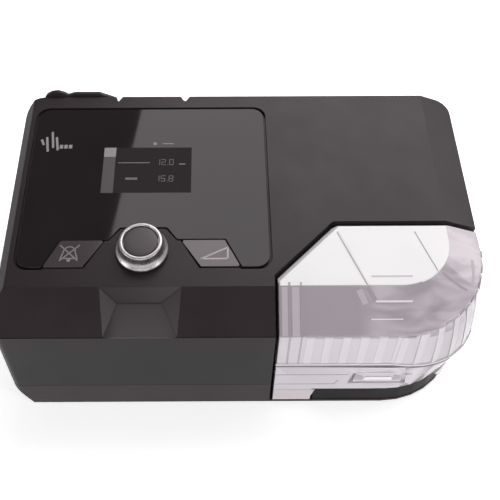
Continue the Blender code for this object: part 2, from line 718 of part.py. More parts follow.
def latch(root):
    shape = ((69.5, 27.2), (99.5, 27.2), (98.0, 37.9), (71.0, 37.9))
    plate = loft([[(x, y, z) for x, z in shape] for y in (-85.7, -83.4)])
    ob = body("tank_latch", plate, CLEAR, root, (84.5, -84.4, 36.9))
    combine(ob, "DIFFERENCE", rod(0.95, 60, 110, -84.4, 36.9))


def lid(root):
    outer = loft(lid_rings(0, LID_Z))
    edge = top_point(0, (TANK_BACK - 1.2 - TOP_Y) / math.cos(TILT))
    clip(outer, edge, Vector((0, 1, 0.9)).normalized())
    corner = top_point(55.3, (TANK_BACK - TOP_Y) / math.cos(TILT))
    slant = (Vector((-1, 1, 0)).normalized() + TOP_NORMAL).normalized()
    clip(outer, corner - slant * LID_BEVEL, slant)
    ob = body("tank_lid", outer, CLEAR, root, (100.0, HINGE_Y, HINGE_Z))
    combine(ob, "DIFFERENCE", loft(lid_rings(TANK_WALL, 40)))
    opening = box(57.0, 143.2, -26.5, -15.0, 40.0, 110.0)
    clip(opening, top_point(0, 0, -TANK_WALL - 0.4), TOP_NORMAL)
    combine(ob, "DIFFERENCE", opening)
    combine(ob, "UNION", knuckle(68.4, 76, True), knuckle(104, 111.6, True))
    combine(ob, "DIFFERENCE", rod(0.95, 67.5, 77, HINGE_Y, HINGE_Z))
    combine(ob, "DIFFERENCE", rod(0.95, 103, 112.5, HINGE_Y, HINGE_Z))
    plan = ((62.0, -27.5), (105.0, -27.5), (114.0, -52.0), (71.0, -52.0))
    guide = body("tank_baffle", prism(plan, 68, 91.2), CLEAR, root)
    inner = ((63.4, -25.0), (103.4, -25.0), (112.3, -50.4), (72.2, -50.4))
    combine(guide, "DIFFERENCE", prism(inner, 69.6, 99))


def main():
    for ob in list(bpy.data.objects):
        bpy.data.objects.remove(ob, do_unlink=True)
    root = empty("machine", loc=(0, SHIFT_Y, 0))
    top = empty("top_frame", root, (0, TOP_Y, TOP_Z), TILT)
    upper_shell(root, top)
    lower_shell(root)
    screws(root)
    feet(root)
    controls(top)
    knob(top)
    boards(root, top)
    blower(root)
    air_path(root)
    heater(root)
    tank(root)
    lid(root)


main()
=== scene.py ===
"""Looks of the bench-top ventilator: camera, light, materials and detailed pieces."""

import math

import bmesh
import bpy
from mathutils import Matrix, Vector

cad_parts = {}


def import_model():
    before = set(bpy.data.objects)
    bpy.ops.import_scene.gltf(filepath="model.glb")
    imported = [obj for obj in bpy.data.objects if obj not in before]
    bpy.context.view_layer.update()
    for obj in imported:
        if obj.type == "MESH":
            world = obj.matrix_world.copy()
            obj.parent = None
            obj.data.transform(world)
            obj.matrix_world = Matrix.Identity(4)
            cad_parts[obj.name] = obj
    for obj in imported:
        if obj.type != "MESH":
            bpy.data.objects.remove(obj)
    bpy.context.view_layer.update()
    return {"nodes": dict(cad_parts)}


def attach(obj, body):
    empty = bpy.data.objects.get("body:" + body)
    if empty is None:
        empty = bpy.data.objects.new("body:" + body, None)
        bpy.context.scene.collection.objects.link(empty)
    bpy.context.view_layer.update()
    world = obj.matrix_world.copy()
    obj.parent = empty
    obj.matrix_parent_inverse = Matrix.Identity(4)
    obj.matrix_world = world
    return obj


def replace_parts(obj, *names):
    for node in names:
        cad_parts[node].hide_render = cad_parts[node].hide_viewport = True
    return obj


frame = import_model()

# The model's own numbers, in millimetres, as part.py has them.
SHIFT_Y = -11.0
TILT = math.radians(8.4)
TOP_Y, TOP_Z = -61.0, 94.2
KNOB_X, KNOB_T, KEY_REACH = -60.0, 24.4, 43.5
PLATE = (-135.0, 16.3, 13.1, 137.1)  # x0, x1 and t0, t1 on the tilted top
SCREEN = (-88.4, -31.5, 67.2, 103.6)
TANK_X, TANK_Y, TANK_BACK, TANK_SIDE = 20.4, -85.8, -19.6, 145.0
TOP = Matrix.Translation((0, (TOP_Y + SHIFT_Y) / 1000, TOP_Z / 1000)) @ Matrix.Rotation(TILT, 4, "X")
BODY = Matrix.Translation((0, SHIFT_Y / 1000, 0))


def on_top(x, t, h=0.0):
    """Point of the tilted top, in body millimetres: t runs up the slope, h stands off it."""
    y = TOP_Y + t * math.cos(TILT) - h * math.sin(TILT)
    return Vector((x, y, TOP_Z + t * math.sin(TILT) + h * math.cos(TILT)))


# ------------------------------------------------------------------- materials


class Look:
    """A node material: colour, roughness and bump vary over the surface."""

    def __init__(self, name, **sockets):
        self.mat = bpy.data.materials.new(name)
        self.mat.use_nodes = True
        self.nodes = self.mat.node_tree.nodes
        self.links = self.mat.node_tree.links
        self.shader = self.nodes["Principled BSDF"]
        for key, value in sockets.items():
            self.shader.inputs[key.replace("_", " ")].default_value = value
        self.coords = self.nodes.new("ShaderNodeTexCoord")

    def noise(self, scale, detail=3.0, stretch=None):
        mapping = self.nodes.new("ShaderNodeMapping")
        self.links.new(self.coords.outputs["Object"], mapping.inputs["Vector"])
        if stretch:
            mapping.inputs["Scale"].default_value = stretch
        tex = self.nodes.new("ShaderNodeTexNoise")
        tex.inputs["Scale"].default_value = scale
        tex.inputs["Detail"].default_value = detail
        self.links.new(mapping.outputs["Vector"], tex.inputs["Vector"])
        return tex.outputs["Fac"]

    def ramp(self, fac, stops):
        node = self.nodes.new("ShaderNodeValToRGB")
        while len(node.color_ramp.elements) < len(stops):
            node.color_ramp.elements.new(0.5)
        for element, (pos, colour) in zip(node.color_ramp.elements, stops):
            element.position = pos
            element.color = (*colour, 1)
        self.links.new(fac, node.inputs["Fac"])
        return node.outputs["Color"]

    def span(self, fac, low, high):
        return mapped(self.mat, fac, 0.3, 0.7, low, high)

    def set(self, socket, value):
        self.links.new(value, self.shader.inputs[socket])

    def bump(self, fac, strength, distance, under=None):
        node = self.nodes.new("ShaderNodeBump")
        node.inputs["Strength"].default_value = strength
        node.inputs["Distance"].default_value = distance
        self.links.new(fac, node.inputs["Height"])
        if under:
            self.links.new(under, node.inputs["Normal"])
        self.set("Normal", node.outputs["Normal"])
        return node.outputs["Normal"]


def mapped(mat, value, start, end, low, high):
    """The value, taken from start and end to low and high."""
    node = mat.node_tree.nodes.new("ShaderNodeMapRange")
    for key, number in (("From Min", start), ("From Max", end), ("To Min", low), ("To Max", high)):
        node.inputs[key].default_value = number
    mat.node_tree.links.new(value, node.inputs["Value"])
    return node.outputs["Result"]


def place_along(mat, axis):
    """The object's own X, Y or Z, in metres."""
    coords = mat.node_tree.nodes.new("ShaderNodeTexCoord")
    split = mat.node_tree.nodes.new("ShaderNodeSeparateXYZ")
    mat.node_tree.links.new(coords.outputs["Object"], split.inputs["Vector"])
    return split.outputs[axis]


def scale_colour(mat, factor):
    """Multiplies the base colour by a factor."""
    links = mat.node_tree.links
    colour = mat.node_tree.nodes["Principled BSDF"].inputs["Base Color"]
    tone = mat.node_tree.nodes.new("ShaderNodeVectorMath")
    tone.operation = "SCALE"
    links.new(colour.links[0].from_socket, tone.inputs[0])
    links.new(factor, tone.inputs["Scale"])
    links.new(tone.outputs["Vector"], colour)


def plastic(name, colour, rough, grain=0.25, vary=0.07, **more):
    """Moulded plastic: fine spark texture, slight cloudiness, uneven sheen."""
    look = Look(name, **more)
    cloud = look.noise(14, 4)
    dark = [c * (1 - vary) for c in colour]
    light = [c * (1 + vary) for c in colour]
    look.set("Base Color", look.ramp(cloud, ((0.35, dark), (0.65, light))))
    look.set("Roughness", look.span(look.noise(55, 5), rough * 0.88, rough * 1.12))
    if grain:
        look.bump(look.noise(2600, 2), grain, 0.00004)
    return look.mat


def toned(mat, axis, start, end, share):
    """Scales the colour from 1 at start to share at end, both metres along an axis."""
    scale_colour(mat, mapped(mat, place_along(mat, axis), start, end, 1.0, share))


def streaky(mat, start, end, low, high):
    """Mixes drawn-out light and dark streaks into the colour between x = start and end, and beyond."""
    nodes, links = mat.node_tree.nodes, mat.node_tree.links
    coords = nodes.new("ShaderNodeTexCoord")
    mapping, noise = nodes.new("ShaderNodeMapping"), nodes.new("ShaderNodeTexNoise")
    mapping.inputs["Scale"].default_value = (0.35, 1.0, 1.0)
    noise.inputs["Scale"].default_value = 95
    noise.inputs["Detail"].default_value = 2
    noise.inputs["Distortion"].default_value = 0.6
    links.new(coords.outputs["Object"], mapping.inputs["Vector"])
    links.new(mapping.outputs["Vector"], noise.inputs["Vector"])
    mix = nodes.new("ShaderNodeMix")
    mix.inputs["A"].default_value = 1.0
    links.new(mapped(mat, place_along(mat, "X"), start, end, 0.0, 1.0), mix.inputs["Factor"])
    links.new(mapped(mat, noise.outputs["Fac"], 0.35, 0.65, low, high), mix.inputs["B"])
    scale_colour(mat, mix.outputs["Result"])


def metal(name, colour, rough, stretch, scale=900):
    """Machined or brushed metal with streaks along one direction."""
    look = Look(name, Metallic=1.0)
    streak = look.noise(scale, 4, stretch)
    dark = [c * 0.82 for c in colour]
    look.set("Base Color", look.ramp(streak, ((0.3, dark), (0.7, colour))))
    look.set("Roughness", look.span(streak, rough * 0.75, rough * 1.35))
    look.bump(streak, 0.12, 0.00002)
    return look.mat


def foam(name, colour):
    look = Look(name, Roughness=0.95)
    cell = look.nodes.new("ShaderNodeTexVoronoi")
    cell.inputs["Scale"].default_value = 900
    look.links.new(look.coords.outputs["Object"], cell.inputs["Vector"])
    dark = [c * 0.3 for c in colour]
    look.set("Base Color", look.ramp(cell.outputs["Distance"], ((0.1, dark), (0.6, colour))))
    look.bump(cell.outputs["Distance"], 0.8, 0.0006)
    return look.mat


def board(name):
    look = Look(name, Roughness=0.35)
    tracks = look.nodes.new("ShaderNodeTexBrick")
    tracks.inputs["Scale"].default_value = 160
    for key, colour in (
        ("Color1", (0.012, 0.13, 0.05, 1)),
        ("Color2", (0.02, 0.17, 0.07, 1)),
        ("Mortar", (0.03, 0.3, 0.12, 1)),
    ):
        tracks.inputs[key].default_value = colour
    look.links.new(look.coords.outputs["Object"], tracks.inputs["Vector"])
    look.set("Base Color", tracks.outputs["Color"])
    look.bump(tracks.outputs["Fac"], 0.3, 0.0001)
    return look.mat


def clear(name, colour, weight, rough):
    """Moulded polycarbonate that lets some light through, with soft flow waves."""
    look = Look(name, IOR=1.5)
    flow = look.noise(18, 3)
    look.set("Base Color", look.ramp(flow, ((0.3, [c * 0.97 for c in colour]), (0.7, colour))))
    look.set("Transmission Weight", look.span(flow, weight - 0.03, weight + 0.03))
    look.set("Roughness", look.span(look.noise(60, 3), rough * 0.7, rough * 1.3))
    look.bump(look.noise(45, 2), 0.04, 0.0006)
    return look.mat


def lit(name, colour, strength):
    """Lit display graphic: rows of cells that glow unevenly. The same glow on printed icons and marks
    is painted light.
    """
    look = Look(name, Roughness=0.4)
    cells = look.noise(1500, 1)
    tone = look.ramp(cells, ((0.3, [c * 0.85 for c in colour]), (0.7, colour)))
    look.set("Base Color", tone)
    look.set("Emission Color", tone)
    look.shader.inputs["Emission Strength"].default_value = strength
    return look.mat


def coat(node, mat):
    ob = frame["nodes"][node]
    ob.data.materials.clear()
    ob.data.materials.append(mat)


# ---------------------------------------------------------------- mesh helpers


def rounded(corners, seg=6):
    """Outline whose corners (x, y, radius) are turned into arcs."""
    out = []
    for i, (x, y, r) in enumerate(corners):
        p = Vector((x, y))
        if r <= 0:
            out.append((x, y))
            continue
        a = (Vector(corners[i - 1][:2]) - p).normalized()
        b = (Vector(corners[(i + 1) % len(corners)][:2]) - p).normalized()
        half = a.angle(b) / 2
        centre = p + (a + b).normalized() * (r / math.sin(half))
        v0 = p + a * (r / math.tan(half)) - centre
        v1 = p + b * (r / math.tan(half)) - centre
        start = math.atan2(v0.y, v0.x)
        turn = (math.atan2(v1.y, v1.x) - start + math.pi) % (2 * math.pi) - math.pi
        for k in range(seg + 1):
            ang = start + turn * k / seg
            out.append((centre.x + r * math.cos(ang), centre.y + r * math.sin(ang)))
    return out


def circle(cx, cy, r, seg=32):
    angles = [2 * math.pi * k / seg for k in range(seg)]
    return [(cx + r * math.cos(a), cy + r * math.sin(a)) for a in angles]


def loft(rings, caps=True):
    bm = bmesh.new()
    rows = [[bm.verts.new(p) for p in ring] for ring in rings]
    count = len(rows[0])
    for low, high in zip(rows, rows[1:]):
        for i in range(count):
            j = (i + 1) % count
            bm.faces.new((low[i], low[j], high[j], high[i]))
    if caps:
        bm.faces.new(list(reversed(rows[0])))
        bm.faces.new(rows[-1])
    return bm


def prism(outline, z0, z1):
    return loft([[(x, y, z) for x, y in outline] for z in (z0, z1)])


def slab(outline, y0, y1):
    """Upright plate with this (x, z) outline, from y0 to y1."""
    return loft([[(x, y, z) for x, z in outline] for y in (y0, y1)])


def soften(bm, offset, seg=2, least=25.0):
    """Bevels the edges that turn by more than a number of degrees."""
    bmesh.ops.recalc_face_normals(bm, faces=list(bm.faces))
    turned = [
        e for e in bm.edges
        if len(e.link_faces) == 2 and e.calc_face_angle(0) > math.radians(least)
    ]
    bmesh.ops.bevel(
        bm, geom=turned, offset=offset, offset_type="OFFSET", segments=seg,
        profile=0.5, affect="EDGES", clamp_overlap=True,
    )
    return bm


def lathe(profile, seg=64):
    """Body turned about Z from (radius, height) points; a radius of 0 closes it on the axis."""
    bm = bmesh.new()
    rows = []
    for r, z in profile:
        if r < 1e-6:
            rows.append([bm.verts.new((0, 0, z))] * seg)
        else:
            rows.append([bm.verts.new((x, y, z)) for x, y in circle(0, 0, r, seg)])
    pairs = list(zip(rows, rows[1:]))
    if profile[0][0] > 1e-6:
        pairs.append((rows[-1], rows[0]))
    for low, high in pairs:
        for i in range(seg):
            j = (i + 1) % seg
            corners = []
            for v in (low[i], low[j], high[j], high[i]):
                if v not in corners:
                    corners.append(v)
            if len(corners) > 2:
                bm.faces.new(corners)
    return bm


def piece(name, bm, mat, body, place=BODY, angle=30.0):
    """A mesh piece drawn in millimetres, set in the row frame and riding on a body."""
    bmesh.ops.recalc_face_normals(bm, faces=list(bm.faces))
    bm.transform(place @ Matrix.Scale(0.001, 4))
    mesh = bpy.data.meshes.new(name)
    bm.to_mesh(mesh)
    bm.free()
    mesh.shade_smooth()
    mesh.set_sharp_from_angle(angle=math.radians(angle))
    for one in mat if isinstance(mat, (list, tuple)) else [mat]:
        mesh.materials.append(one)
    ob = bpy.data.objects.new(name, mesh)
    bpy.context.scene.collection.objects.link(ob)
    even = ob.modifiers.new("even_normals", "WEIGHTED_NORMAL")
    even.keep_sharp = True
    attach(ob, body)
    return ob


# ---------------------------------------------------------------------- camera


def camera():
    data = bpy.data.cameras.new("view")
    data.lens = 52.56
    data.sensor_width = 36
    data.shift_x = 0.066
    data.clip_start = 0.01
    ob = bpy.data.objects.new("view", data)
    bpy.context.scene.collection.objects.link(ob)
    place = Matrix.Translation((-0.0153, (-317.1 + SHIFT_Y) / 1000, 0.4322))
    spin = Matrix.Rotation(math.radians(40), 4, "X") @ Matrix.Rotation(math.radians(-0.27), 4, "Z")
    ob.matrix_world = place @ spin
    bpy.context.scene.camera = ob
    return ob.matrix_world.translation.copy()


EYE = camera()

# ----------------------------------------------------------------------- light

SKY, FRONT, LEFT, RIGHT = 25.0, 6.5, 5.0, 3.5  # watts
SKY_HEIGHT, SKY_SIZE = 1.1, (1.9, 1.15)  # metres
MIDDLE = (-0.06, -0.08, 0.08)


def mirrored(x, t, height):
    """Where the eye's ray, mirrored in the top at (x, t), meets a level plane."""
    p = TOP @ Vector((x / 1000, t / 1000, 0))
    n = TOP.to_3x3() @ Vector((0, 0, 1))
    d = (p - EYE).normalized()
    r = d - 2 * d.dot(n) * n
    return p + r * ((height - p.z) / r.z)


def panel(name, centre, size, power, turn=0.0, aim=None):
    """Soft rectangular light that faces down, turned about Z, or faces the point aim."""
    data = bpy.data.lights.new(name, "AREA")
    data.shape = "RECTANGLE"
    data.size, data.size_y = size
    data.energy = power
    data.color = (1.0, 0.94, 0.955)
    ob = bpy.data.objects.new(name, data)
    bpy.context.scene.collection.objects.link(ob)
    ob.location = centre
    if aim is None:
        ob.rotation_euler = (0, 0, turn)
    else:
        ob.rotation_euler = (Vector(aim) - Vector(centre)).to_track_quat("-Z", "Y").to_euler()


def lights():
    """A big panel, whose mirror image fills the right of the glossy plate, and three small ones."""
    near, far = mirrored(-83.2, 6.0, SKY_HEIGHT), mirrored(-60.9, 175.0, SKY_HEIGHT)
    edge = (far - near).normalized()
    out = Vector((edge.y, -edge.x, 0))
    width, depth = SKY_SIZE
    centre = near + edge * (depth / 2) + out * (width / 2)
    panel("sky_panel", centre, SKY_SIZE, SKY, turn=math.atan2(edge.y, edge.x) - math.pi / 2)
    panel("front_panel", (-0.05, -1.45, 1.0), (1.3, 0.35), FRONT, aim=(-0.05, -0.08, 0.08))
    panel("left_panel", (-1.4, -0.67, 0.55), (0.6, 0.5), LEFT, aim=MIDDLE)
    panel("right_panel", (1.11, -0.85, 0.75), (0.4, 0.4), RIGHT, aim=MIDDLE)


def world():
    """Studio surroundings: light near the floor all round, dim overhead."""
    scene = bpy.context.scene
    scene.view_settings.view_transform = "Standard"
    scene.view_settings.look = "None"
    made = bpy.data.worlds.new("studio")
    scene.world = made
    made.use_nodes = True
    nodes, links = made.node_tree.nodes, made.node_tree.links
    coords = nodes.new("ShaderNodeTexCoord")
    split = nodes.new("ShaderNodeSeparateXYZ")
    ramp = nodes.new("ShaderNodeValToRGB")
    ramp.color_ramp.elements[0].position = 0.12
    ramp.color_ramp.elements[0].color = (0.9, 0.9, 0.93, 1)
    ramp.color_ramp.elements[1].position = 0.55
    ramp.color_ramp.elements[1].color = (0.16, 0.158, 0.165, 1)
    links.new(coords.outputs["Generated"], split.inputs["Vector"])
    links.new(split.outputs["Z"], ramp.inputs["Fac"])
    links.new(ramp.outputs["Color"], nodes["Background"].inputs["Color"])
    nodes["Background"].inputs["Strength"].default_value = 0.8


def floor():
    """Round white floor that glows a little, so that it stays white to its edge."""
    mat = plastic("floor", (0.9, 0.9, 0.9), 0.7, grain=0, vary=0.01)
    shader = mat.node_tree.nodes["Principled BSDF"]
    shader.inputs["Emission Color"].default_value = (0.97, 1, 1, 1)
    shader.inputs["Emission Strength"].default_value = 0.56
    bm = prism(circle(0, 0, 6000, 96), -40, 0)
    bm.transform(Matrix.Scale(0.001, 4))
    mesh = bpy.data.meshes.new("floor")
    bmesh.ops.recalc_face_normals(bm, faces=list(bm.faces))
    bm.to_mesh(mesh)
    bm.free()
    mesh.materials.append(mat)
    ob = bpy.data.objects.new("floor", mesh)
    bpy.context.scene.collection.objects.link(ob)


lights()
world()
floor()

# -------------------------------------------------------- looks of the housing

SHELL = plastic("shell_plastic", (0.0250, 0.0195, 0.0205), 0.36, Specular_IOR_Level=0.24)
# Painted shade: the shell's colour drops to a quarter in front of the tank's front face, which darkens
# the housing's front wall.
toned(SHELL, "Y", (TANK_Y + SHIFT_Y + 0.6) / 1000, (TANK_Y + SHIFT_Y) / 1000, 0.25)
PROW = plastic("prow_plastic", (0.0245, 0.0195, 0.0205), 0.33, Specular_IOR_Level=0.34)
STRIP = plastic("strip_plastic", (0.029, 0.0205, 0.0225), 0.4, Specular_IOR_Level=0.18)
GLOSS = plastic(
    "gloss_plate", (0.015, 0.0125, 0.0132), 0.04, grain=0, vary=0.1, Specular_IOR_Level=0.27
)
KEY = plastic("key_plastic", (0.056, 0.047, 0.050), 0.12, grain=0.05, Specular_IOR_Level=0.5)
# The heater tray sits in a recess; its plastic is made far darker than the shell: painted shade of the
# recess.
TRAY_SHADED = plastic("tray_plastic_painted_shade", (0.009, 0.007, 0.0075), 0.45, Specular_IOR_Level=0.1)
STEEL = metal("turned_steel", (0.78, 0.77, 0.77), 0.25, (1, 1, 12))
RUBBER = plastic("rubber", (0.018, 0.018, 0.019), 0.75, grain=0.4)
BOARD = board("circuit_board")
FOAM = foam("foam", (0.12, 0.12, 0.125))
WHITE = plastic("duct_plastic", (0.6, 0.6, 0.59), 0.45)


def look_of(node):
    """The material of a CAD node."""
    if node == "lower_shell":
        return STRIP
    if node in ("upper_shell", "filter_cover", "data_door", "outlet_port"):
        return SHELL
    if node in ("control_plate", "lcd_module", "knob_cap"):
        return GLOSS
    if node in ("mute_button", "ramp_button", "buzzer", "dc_socket", "flow_sensor"):
        return KEY
    if node == "heater_tray":
        return TRAY_SHADED
    if node in ("tank_base", "tank_lid", "tank_latch"):
        return MILK
    if node == "tank_baffle":
        return PALE_AND_HIGHLIGHT
    if node.startswith(("foot", "blower_mount")) or "gasket" in node or "seal" in node:
        return RUBBER
    if node in ("main_board", "power_board"):
        return BOARD
    if node in ("silencer_foam", "air_filter"):
        return FOAM
    if node in (
        "blower_base", "blower_cover", "impeller", "inlet_duct", "outlet_duct",
        "heater_insulator", "indicator_lens", "mute_switch", "ramp_switch", "encoder_plunger",
    ):
        return WHITE
    return STEEL


# --------------------------------------------------------------- control panel


def plate_outline(grow, notch):
    """Outline of the glossy plate, open at the front for the knob and both keys."""
    x0, x1, t0, t1 = PLATE
    k = KNOB_X
    corners = [
        (x0 - grow, t0 - grow, 8),
        (k - 59.4 + notch, t0 - grow, 0.6),
        (k - 50.0 + notch, 32.5 - notch, 0.6),
        (k - 20.6, 32.5 - notch, 0.6),
        (k - 14.2 + notch / 2, 41.0 - notch, 2),
        (k + 14.2 - notch / 2, 41.0 - notch, 2),
        (k + 20.6, 32.5 - notch, 0.6),
        (k + 50.0 - notch, 32.5 - notch, 0.6),
        (k + 59.4 - notch, t0 - grow, 0.6),
        (x1 + grow, t0 - grow, 8),
        (x1 + grow, t1 + grow, 8),
        (x0 - grow, t1 + grow, 9),
    ]
    return rounded(corners, 10)


def rect(x0, x1, t0, t1, r=0.0):
    """Upright rectangle with its corners rounded by r."""
    return rounded([(x0, t0, r), (x1, t0, r), (x1, t1, r), (x0, t1, r)], 3)


def gathered(meshes):
    """One bmesh holding several."""
    whole = bmesh.new()
    for bm in meshes:
        made = bpy.data.meshes.new("part")
        bm.to_mesh(made)
        bm.free()
        whole.from_mesh(made)
        bpy.data.meshes.remove(made)
    return whole


def stroke(points, width, h0, h1, close=False):
    """Line of even width through flat points."""
    runs = list(zip(points, points[1:] + points[:1])) if close else list(zip(points, points[1:]))
    out = []
    for a, b in runs:
        a, b = Vector(a), Vector(b)
        d = (b - a).normalized() * (width / 2)
        n = Vector((-d.y, d.x))
        quad = [a - d - n, b + d - n, b + d + n, a - d + n]
        out.append(prism([(q.x, q.y) for q in quad], h0, h1))
    return out


SEGMENTS = {
    "0": "abcdef", "1": "bc", "2": "abged", "3": "abgcd", "4": "fgbc",
    "5": "afgcd", "6": "afgedc", "7": "abc", "8": "abcdefg", "9": "abcdfg",
}


def digits(text, x, t, wide, tall, h0, h1):
    """Plain seven-bar figures."""
    out = []
    ends = {
        "a": ((0, 1), (1, 1)), "b": ((1, 1), (1, 0.5)), "c": ((1, 0.5), (1, 0)),
        "d": ((0, 0), (1, 0)), "e": ((0, 0.5), (0, 0)), "f": ((0, 1), (0, 0.5)),
        "g": ((0, 0.5), (1, 0.5)),
    }
    for char in text:
        if char == ".":
            out.append(prism(rect(x, x + 0.5, t - 0.25, t + 0.25), h0, h1))
            x += 1.4
            continue
        for key in SEGMENTS[char]:
            (ax, ay), (bx, by) = ends[key]
            a = (x + ax * wide, t + ay * tall)
            b = (x + bx * wide, t + by * tall)
            out += stroke([a, b], 0.42, h0, h1)
        x += wide + 1.3
    return out


def control_panel():
    """Glossy plate, display and its lamp."""
    plate = soften(prism(plate_outline(0, 0), -1.9, 0.05), 0.35, 3)
    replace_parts(piece("plate_glass", plate, GLOSS, "housing", TOP), "control_plate")
    x0, x1, t0, t1 = SCREEN
    face = soften(prism(rect(x0 + 7.6, x1, t0, t1, 0.3), -3, 0.10), 0.04, 1)
    screen = plastic(
        "screen_face", (0.026, 0.022, 0.0225), 0.7, grain=0.1, vary=0.06, Specular_IOR_Level=0.06
    )
    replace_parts(piece("screen_face", face, screen, "housing", TOP), "lcd_module")
    bar = prism(rect(x0, x0 + 7.7, t0, t1 - 7.6, 0.2), -1, 0.12)
    piece("screen_side_bar", bar, lit("side_bar", (0.045, 0.041, 0.042), 0.25), "housing", TOP)
    tab = prism(rect(x0, x0 + 7.7, t1 - 7.5, t1, 0.2), -1, 0.14)
    piece("screen_tab", tab, lit("screen_tab", (0.17, 0.16, 0.162), 0.55), "housing", TOP)
    bars = (
        rect(x0 + 9.5, x0 + 30, 90.7, 91.5),
        rect(x0 + 15, x0 + 22.5, 77.4, 79.2),
        rect(x0 + 49, x0 + 53, 89.4, 90.4),
    )
    rows = [prism(outline, 0, 0.14) for outline in bars]
    for text, t in (("12.0", 89.4), ("15.8", 76.2)):
        rows += digits(text, x0 + 34.0, t, 2.4, 4.2, 0, 0.14)
    piece("screen_rows", gathered(rows), lit("screen_rows", (0.085, 0.078, 0.08), 0.35), "housing", TOP)
    lamp = prism(circle(-55.7, 106.9, 1.1, 20), -1, 0.16)
    # The lamp glows as a lamp; the printed mark beside it shares that glow, which on the mark is
    # painted light.
    marks = [lamp, prism(rect(-50.5, -43.5, 106.5, 107.2), 0, 0.12)]
    piece("lamp_and_mark", gathered(marks), lit("lamp", (0.17, 0.16, 0.162), 0.4), "housing", TOP)


def key_icons():
    """Rising ramp on the right key, crossed-out bell on the left one, printed in ink that glows:
    painted light.
    """
    h0, h1 = 0.1, 0.34
    x = KNOB_X + KEY_REACH
    tri = stroke([(x - 8.2, 18.6), (x + 7.6, 18.6), (x + 7.6, 26.4)], 1.0, h0, h1, close=True)
    piece("ramp_icon", gathered(tri), lit("ramp_ink_painted_glow", (0.38, 0.36, 0.365), 0.12), "ramp_key", TOP)
    x, t = KNOB_X - KEY_REACH, 22.8
    turns = [math.pi * k / 10 for k in range(11)]
    dome = [(x + 3.6 * math.cos(a), t + 0.6 + 4.0 * math.sin(a)) for a in turns]
    bell = stroke([(x + 5.0, t - 3.6)] + dome + [(x - 5.0, t - 3.6)], 0.8, h0, h1, close=True)
    bell.append(prism(circle(x, t - 4.8, 1.2, 16), h0, h1))
    for side in (-1, 1):
        bell += stroke([(x + side * 5.6, t + 5.4), (x - side * 5.2, t - 5.0)], 0.8, h0, h1)
    piece("mute_icon", gathered(bell), lit("mute_ink_painted_glow", (0.22, 0.207, 0.21), 0.1), "mute_key", TOP)


def knob():
    """Waisted metal ring of the knob and its dished cap."""
    place = TOP @ Matrix.Translation((KNOB_X / 1000, KNOB_T / 1000, 0))
    hollow = [(0, 7.6), (11.0, 7.6), (12.0, 4.4), (13.6, 1.3)]
    flange = [(15.3, 1.3), (15.7, 1.6), (15.75, 2.6), (15.3, 3.2)]
    waist = [(14.4, 4.0), (13.6, 5.2), (13.15, 6.6), (12.95, 8.4), (12.9, 10.4)]
    brim = [(12.75, 10.95), (12.4, 11.3), (12.0, 11.4), (11.2, 11.4), (10.9, 11.3), (10.6, 10.9)]
    shape = lathe(hollow + flange + waist + brim + [(10.5, 10.3), (10.5, 9.4), (0, 9.4)], 128)
    steel = metal("knob_metal", (0.54, 0.525, 0.53), 0.32, (1, 1, 0.08), 1400)
    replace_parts(piece("knob_shell", shape, steel, "knob", place, 50), "knob_body")
    edge = [(10.2, 9.7), (10.25, 10.2), (10.0, 10.6), (9.4, 10.85)]
    top = lathe([(0, 9.7)] + edge + [(6, 11.0), (0, 11.05)], 96)
    cap = plastic("knob_cap_finish", (0.062, 0.055, 0.057), 0.42, grain=0.9, vary=0.2)
    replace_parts(piece("knob_face", top, cap, "knob", place, 50), "knob_cap")


control_panel()
key_icons()
knob()

# --------------------------------------------------- tongue, mark and rear lip


def prow_skin():
    """Facets of the tongue under the knob, standing a little above the slope."""
    proud = 0.12
    corners = (
        on_top(24.4, 0.2, proud),
        on_top(12.6, -11.0, proud),
        (13.4, -86.15, 80.0),
        (21.8, -86.05, 77.9),
        (21.8, -84.0, 77.0),
        on_top(12.6, -4, proud) - Vector((0, 0, 1)),
    )
    bm = bmesh.new()
    for side in (-1, 1):
        for x, y, z in corners:
            bm.verts.new((KNOB_X + side * x, y, z))
    found = bmesh.ops.convex_hull(bm, input=list(bm.verts))
    loose = [v for v in found["geom_interior"] if isinstance(v, bmesh.types.BMVert)]
    bmesh.ops.delete(bm, geom=loose, context="VERTS")
    soften(bm, 0.5, 2, 12)
    piece("prow_skin", bm, PROW, "housing", BODY, 14)


def emblem():
    """Small abstract mark at the plate's back left corner, printed in ink that glows: painted light."""
    bars = []
    for x, t, length in (
        (-129.8, 106.5, 4.0),
        (-126.6, 101.0, 11.5),
        (-123.4, 104.0, 13.0),
        (-120.2, 102.0, 10.5),
    ):
        ring = [(x - 1.3, t + length), (x + 0.1, t + length + 0.8), (x + 1.9, t), (x + 0.5, t - 0.8)]
        bars.append(prism(rounded([(px, pt, 0.5) for px, pt in ring], 3), -0.5, 0.2))
    for i in range(3):
        bars.append(prism(rect(-118.0 + 3.0 * i, -115.8 + 3.0 * i, 103.2, 106.2), -0.5, 0.2))
    piece("emblem", gathered(bars), lit("emblem_ink_painted_glow", (0.27, 0.255, 0.258), 0.1), "housing", TOP)


def filter_lip():
    """Uneven upper lip of the rear filter cover."""
    hump = [(-133.0, 108.0), (-133.4, 114.5), (-131.2, 117.6), (-127.5, 119.4), (-123.6, 120.0)]
    dip = [(-119.8, 118.8), (-116.6, 116.8), (-113.4, 118.0), (-111.5, 118.3)]
    fall = [(-95.5, 118.3), (-92.8, 117.2), (-88.0, 115.2), (-84.0, 113.4), (-83.0, 108.0)]
    lip = soften(slab(hump + dip + fall, 86.4, 89.2), 0.7, 2, 30)
    piece("filter_lip", lip, SHELL, "filter_door", BODY, 40)


prow_skin()
emblem()
filter_lip()

# ------------------------------------------------------------------------ tank

